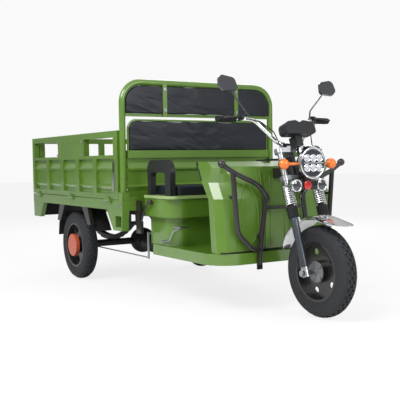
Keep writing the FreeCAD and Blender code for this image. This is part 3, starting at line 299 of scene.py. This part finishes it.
def padding(node, seed, size, wrinkle, puff):
    """Remeshes a pad, puffs its faces between the edges and gives it wrinkles."""
    low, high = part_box(node)
    mesh = NODES[node].data.copy()
    obj = bpy.data.objects.new(node + "_padding", mesh)
    bpy.context.scene.collection.objects.link(obj)
    remesh = obj.modifiers.new("remesh", "REMESH")
    remesh.mode, remesh.voxel_size = "VOXEL", size
    soften = obj.modifiers.new("soften", "SMOOTH")
    soften.factor, soften.iterations = 0.5, 6
    shaped = bpy.data.meshes.new_from_object(obj.evaluated_get(bpy.context.evaluated_depsgraph_get()))
    obj.modifiers.clear()
    obj.data = shaped
    for v in shaped.vertices:
        p, nrm = v.co.copy(), v.normal
        q = Vector((p.x * 9 + seed, p.y * 5, p.z * 16))
        fold = noise.noise(q) * 0.6 + noise.noise(q * 2.3) * 0.3
        crease = 1 - abs(noise.noise(Vector((p.x * 22, p.y * 7 + p.z * 14 + seed, p.z * 9))) * 2.6)
        move = puff * (0.4 + fold) + wrinkle * max(0, crease) ** 3 - wrinkle * 0.4
        p += nrm * move
        for k in range(3):
            p[k] = min(max(p[k], low[k] - 0.002), high[k] + 0.002)
        v.co = p
    shaped.materials.clear()
    shaped.materials.append(LOOKS["vinyl"])
    shaped.shade_smooth()
    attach(obj, "chassis")
    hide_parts(node)


padding("seat_cushion", 3.0, 0.006, 0.003, 0.004)
padding("lower_back_pad", 11.0, 0.005, 0.004, 0.005)
padding("upper_back_pads", 23.0, 0.005, 0.003, 0.004)


# ---------- front end ----------

AHEAD = Vector((0.9483, 0, 0.3173))
AXLE = Vector((1.295, 0, 0.245))


def on_fork(x, y, z):
    """A place in the fork's own directions, from the front axle, in the row frame."""
    return AXLE + AHEAD * x + Vector((0, y, 0)) + RAKE * z


coils, boots, sleeves = Shape(), Shape(), Shape()
along = [(v.co - AXLE).dot(RAKE) for v in NODES["fork_springs"].data.vertices]
foot, head = min(along), max(along)
for y in (-0.104, 0.104):
    turns, points = 8.5, []
    start = foot + 0.35 * (head - foot)
    for i in range(int(turns * 20)):
        a = math.tau * i / 20
        z = start + 0.005 + (head - start - 0.01) * i / (turns * 20)
        points.append(on_fork(0.0275 * math.cos(a), y + 0.0275 * math.sin(a), z))
    coils.sweep(points, 0.0048, 8)
    coils.turn(on_fork(0, y, head), RAKE, [(-0.005, 0.031), (0, 0.032), (0.004, 0.028), (0.005, 0.017)])
    ribs = [(foot + (start - foot) * k / 12, 0.0315 if k % 2 else 0.0285) for k in range(13)]
    boots.turn(on_fork(0, y, 0), RAKE, ribs)
    boots.turn(on_fork(0, y, 0), RAKE, [(start, 0.0195), (head - 0.006, 0.0195)])
    sleeves.turn(on_fork(0, y, 0), RAKE, [(0.03, 0.0206), (0.2, 0.0208), (0.27, 0.0212), (0.292, 0.0225), (0.3, 0.0205)])
coil = coils.done("fork_coils", "chrome", "steering")
boots.done("fork_boots", "rubber", "steering")
sleeves.done("fork_lower_sleeves", "slate", "steering", "silver")
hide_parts("fork_springs")

low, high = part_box("headlight")
front, middle = high.x, (low.z + high.z) / 2
bezel, cells, glass, reflectors = Shape(), Shape(), Shape(), Shape()
bezel.ring((front - 0.004, 0, middle), (1, 0, 0), 0.080, 0.0062, 64, 12)
bezel.turn((front - 0.002, 0, middle), (1, 0, 0), [(0, 0.079), (0.003, 0.078)], 48)
glass.turn((front + 0.001, 0, middle), (1, 0, 0), [(0, 0.073), (0.0015, 0.072)], 48)
for z in (-0.026, 0.026):
    for y in (-0.042, 0, 0.042):
        at = (front + 0.002, y, middle + z)
        reflectors.ring(at, (1, 0, 0), 0.0185, 0.0032, 24, 8)
        cells.turn(at, (1, 0, 0), [(0, 0.0165), (0.003, 0.015), (0.006, 0.010), (0.0075, 0.004)], 20)
reflectors.sweep([(front + 0.003, -0.068, middle), (front + 0.003, 0.068, middle)], 0.0025)
peak = [(front - 0.03 + 0.045 * f, 0.084 * math.sin(t), middle + 0.088 * math.cos(t) + 0.002)
        for t in [math.radians(-42 + 84 * i / 16) for i in range(17)] for f in (0, 0.55 + 0.45 * math.cos(t))]
bezel.add(peak + [Vector(p) + Vector((0, 0, 0.0025)) for p in peak],
          [q for i in range(16) for q in ([2 * i, 2 * i + 1, 2 * i + 3, 2 * i + 2],
                                          [34 + 2 * i, 36 + 2 * i, 37 + 2 * i, 35 + 2 * i],
                                          [2 * i + 1, 35 + 2 * i, 37 + 2 * i, 2 * i + 3],
                                          [2 * i, 2 * i + 2, 36 + 2 * i, 34 + 2 * i])]
          + [[0, 34, 35, 1], [32, 33, 67, 66]])
for y in (-0.087, 0.087):
    low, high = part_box("aux_lamps")
    at = Vector((high.x, y, (low.z + high.z) / 2))
    bezel.ring(at, (1, 0, 0), 0.030, 0.0042, 40, 10)
    reflectors.ring(at, (1, 0, 0), 0.0215, 0.003, 32, 8)
    glass.turn(at, (1, 0, 0), [(0, 0.0275), (0.001, 0.0275), (0.0045, 0.017), (0.006, 0.006)], 32)
bezel.done("lamp_bezels", "chrome", "steering", "lamp")
reflectors.done("lamp_reflectors", "chrome", "steering", "lamp")
cells.done("lamp_cells", "led", "steering", "lamp")
glass.done("lamp_glass", "dark_glass", "steering", "lamp")

signals, cups = Shape(), Shape()
for y in (-0.163, 0.163):
    for k in range(5):
        x = -0.012 + 0.009 * k
        signals.ring((1.194 + x, y, 0.815), (1, 0, 0), math.sqrt(0.027 ** 2 - x * x), 0.0016, 32, 6)
    cups.turn((1.194, y, 0.815), (1, 0, 0), [(-0.0285, 0.010), (-0.024, 0.019), (-0.0135, 0.0275), (-0.010, 0.0275)])
signals.done("indicator_ribs", "amber_lens", "steering")
cups.done("indicator_backs", "black_plastic", "steering")

loom = Shape()
for k in range(7):
    y = -0.05 + 0.016 * k
    loom.sweep([on_fork(0.03 + 0.012 * math.sin(1.7 * k + t * 5), y + 0.012 * math.sin(2.1 * k + 4 * t), 0.49 + 0.2 * t)
                for t in [i / 16 for i in range(17)]], 0.0032)
loom.done("lamp_wires", "rubber", "steering")
low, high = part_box("lamp_bracket")
badge = Shape()
badge.turn((high.x + 0.001, 0, 0.700), (1, 0, 0), [(0, 0.026), (0.004, 0.0255), (0.0055, 0.022)], 32)
badge.done("front_reflector", "red_lens", "steering")

low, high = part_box("handlebar_grips")
ribs = Shape()
for side in (-1, 1):
    for k in range(9):
        y = side * (high.y - 0.018 - 0.010 * k)
        near = [v.co for v in NODES["handlebar_grips"].data.vertices if v.co.y * side > 0]
        ends = [min(near, key=lambda p: abs(p.y)), max(near, key=lambda p: abs(p.y))]
        inner = sum((p for p in near if abs(p.y) < abs(ends[0].y) + 0.004), Vector()) / len([p for p in near if abs(p.y) < abs(ends[0].y) + 0.004])
        outer = sum((p for p in near if abs(p.y) > abs(ends[1].y) - 0.004), Vector()) / len([p for p in near if abs(p.y) > abs(ends[1].y) - 0.004])
        t = (abs(y) - abs(inner.y)) / (abs(outer.y) - abs(inner.y))
        ribs.ring(inner.lerp(outer, t), outer - inner, 0.017, 0.0014, 24, 6)
ribs.done("grip_ribs", "rubber", "steering")

hub = Shape()
for side in (-1, 1):
    hub.turn(AXLE + Vector((0, side * 0.03, 0)), (0, side, 0), [(0, 0.058), (0.006, 0.056), (0.010, 0.045), (0.012, 0.022), (0.02, 0.019)], 48)
    for i in range(5):
        a = math.tau * (i + 0.5) / 5
        hub.bolt(AXLE + Vector((0.046 * math.cos(a), side * 0.038, 0.046 * math.sin(a))), (0, side, 0), 0.006, 0.006)
hub.done("front_hub", "drum", "front_wheel", "black_paint")

# ---------- apron ----------

skin = NODES["front_apron"].data
tree = BVHTree.FromPolygons([v.co for v in skin.vertices], [tuple(p.vertices) for p in skin.polygons])


def on_apron(y, z, lift=0.001):
    """The apron's front face at a height and side place."""
    hit = tree.ray_cast(Vector((1.3, y, z)), Vector((-1, 0, 0)))
    return hit[0] + hit[1] * (lift if hit[1].x > 0 else -lift) if hit[0] is not None else None


def on_face(places):
    return [p for p in (on_apron(y, z) for y, z in places) if p is not None]


creases, trim = Shape(), Shape()
for side in (-1, 1):
    drop = []
    for i in range(49):
        a = math.tau * i / 48
        z = 0.545 + 0.165 * math.sin(a)
        width = 0.078 * (0.62 + 0.38 * (0.71 - z) / 0.33)
        drop.append((side * (0.225 + width * math.cos(a)), z))
    creases.sweep(on_face(drop), 0.0035)
    creases.sweep(on_face([(side * 0.12, 0.36 + 0.42 * i / 20) for i in range(21)]), 0.0042)
for y in (-0.085, -0.05, 0.05, 0.085):
    creases.sweep(on_face([(y, 0.35 + 0.40 * i / 16) for i in range(17)]), 0.0038)
creases.done("apron_creases", "green_paint", "chassis")
trim.sweep(on_face([(-0.40 + 0.80 * i / 60, 0.335) for i in range(61)]), 0.004)
for side in (-1, 1):
    edge = {}
    for v in skin.vertices:
        if v.co.y * side > 0.2 and v.co.x < 0.80:
            key = round(v.co.z / 0.03)
            if key not in edge or v.co.x < edge[key].x:
                edge[key] = v.co.copy()
    rail = [edge[k] for k in sorted(edge)]
    if len(rail) > 2:
        trim.sweep(rail, 0.0055)
trim.done("apron_trim", "rubber", "chassis")

# ---------- bolts and small plates ----------

for gate, body, side in (("gate_right", "right_gate", -1), ("gate_left", "left_gate", 1)):
    bolts = Shape()
    for x in (-0.945, -0.484):
        for z in (0.895, 0.985):
            bolts.bolt((x, side * 0.6005, z), (0, side, 0), 0.006, 0.006)
    bolts.done(gate + "_bolts", "chrome", body)
frame_bolts = Shape()
for side in (-1, 1):
    for x in (0.078, 0.098):
        frame_bolts.bolt((x, side * 0.594, 0.567), (0, side, 0), 0.007, 0.007)
    for z in (1.165, 1.30):
        frame_bolts.bolt((0.120, side * 0.275, z), (1, 0, 0), 0.006, 0.005)
    for y in (0.36, 0.40):
        frame_bolts.bolt((0.1253, side * y, 0.566), (1, 0, 0), 0.007, 0.006)
frame_bolts.done("frame_bolts", "steel", "chassis", "black_paint")

glasses = Shape()
for side in (-1, 1):
    heads = [v.co for v in NODES["mirrors"].data.vertices if v.co.y * side > 0.27 and v.co.z > 1.2]
    if heads:
        middle = sum(heads, Vector()) / len(heads)
        glasses.turn((middle.x, middle.y, middle.z), -AHEAD, [(0.0, 0.036), (0.0105, 0.036), (0.0108, 0.034)], 40)
glasses.done("mirror_glass", "chrome", "steering", "mirror")


# ---------- camera, light and floor ----------

yaw, dip, roll = 2.5911, 0.0507, -0.0141
forward = Vector((math.cos(yaw) * math.cos(dip), math.sin(yaw) * math.cos(dip), -math.sin(dip)))
right = forward.cross(Vector((0, 0, 1))).normalized()
up = right.cross(forward)
c, s = math.cos(roll), math.sin(roll)
across, over = right * c + up * s, up * c - right * s
camera = bpy.data.objects.new("camera", bpy.data.cameras.new("camera"))
bpy.context.scene.collection.objects.link(camera)
camera.matrix_world = Matrix.Translation((4.2942, -2.5869, 0.8307)) @ Matrix((across, over, -forward)).transposed().to_4x4()
camera.data.lens, camera.data.sensor_width = 66.84, 36
bpy.context.scene.camera = camera
bpy.context.scene.view_settings.view_transform = "Standard"


def softbox(name, at, aim, size, power):
    light = bpy.data.objects.new(name, bpy.data.lights.new(name, "AREA"))
    bpy.context.scene.collection.objects.link(light)
    light.data.shape, light.data.size, light.data.size_y, light.data.energy = "RECTANGLE", size, size * 0.6, power
    light.location = at
    light.rotation_mode = "QUATERNION"
    light.rotation_quaternion = (Vector(aim) - Vector(at)).to_track_quat("-Z", "Y")
    light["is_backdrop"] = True


softbox("key_light", (1.5, -3.5, 3.6), (0, 0, 0.5), 3.0, 190)
softbox("front_light", (5.0, 1.0, 2.4), (0.5, 0, 0.5), 2.4, 90)
softbox("back_light", (-4.0, 3.0, 3.0), (0, 0, 0.5), 2.6, 90)

world = bpy.data.worlds.new("world")
bpy.context.scene.world = world
world.use_nodes = True
ground = world.node_tree
ray = ground.nodes.new("ShaderNodeLightPath")
strength = ground.nodes.new("ShaderNodeMapRange")
strength.inputs["To Min"].default_value = 0.62
strength.inputs["To Max"].default_value = 0.95
ground.links.new(ray.outputs["Is Camera Ray"], strength.inputs["Value"])
ground.links.new(strength.outputs["Result"], ground.nodes["Background"].inputs["Strength"])
way = ground.nodes.new("ShaderNodeTexCoord")
parts = ground.nodes.new("ShaderNodeSeparateXYZ")
sky = ground.nodes.new("ShaderNodeValToRGB")
for place, grey in ((0.0, 0.35), (0.06, 0.45), (0.3, 0.8), (0.7, 1.0)):
    stop = sky.color_ramp.elements.new(place)
    stop.color = (grey, grey, grey, 1)
blend = ground.nodes.new("ShaderNodeMix")
blend.data_type = "RGBA"
for socket in blend.inputs:
    if socket.type == "RGBA" and socket.name == "B":
        socket.default_value = (1, 1, 1, 1)
first = [i for i in blend.inputs if i.type == "RGBA" and i.name == "A"][0]
ground.links.new(way.outputs["Generated"], parts.inputs[0])
ground.links.new(parts.outputs["Z"], sky.inputs["Fac"])
ground.links.new(sky.outputs["Color"], first)
ground.links.new(ray.outputs["Is Camera Ray"], blend.inputs["Factor"])
tint = [o for o in blend.outputs if o.type == "RGBA"][0]
ground.links.new(tint, ground.nodes["Background"].inputs["Color"])

bpy.ops.mesh.primitive_plane_add(size=60, location=(0, 0, 0))
floor = bpy.context.object
floor.name = "floor"
pale = bpy.data.materials.new("floor")
pale.use_nodes = True
tree = pale.node_tree
tree.nodes["Principled BSDF"].inputs["Base Color"].default_value = (0.86, 0.86, 0.86, 1)
tree.nodes["Principled BSDF"].inputs["Roughness"].default_value = 0.9
glow = tree.nodes.new("ShaderNodeEmission")
mix = tree.nodes.new("ShaderNodeMixShader")
seen = tree.nodes.new("ShaderNodeLightPath")
part = tree.nodes.new("ShaderNodeMath")
part.operation = "MULTIPLY"
part.inputs[1].default_value = 0.8
tree.links.new(seen.outputs["Is Camera Ray"], part.inputs[0])
tree.links.new(part.outputs[0], mix.inputs["Fac"])
tree.links.new(tree.nodes["Principled BSDF"].outputs[0], mix.inputs[1])
tree.links.new(glow.outputs[0], mix.inputs[2])
tree.links.new(mix.outputs[0], tree.nodes["Material Output"].inputs["Surface"])
floor.data.materials.append(pale)
floor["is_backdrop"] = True

low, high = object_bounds()
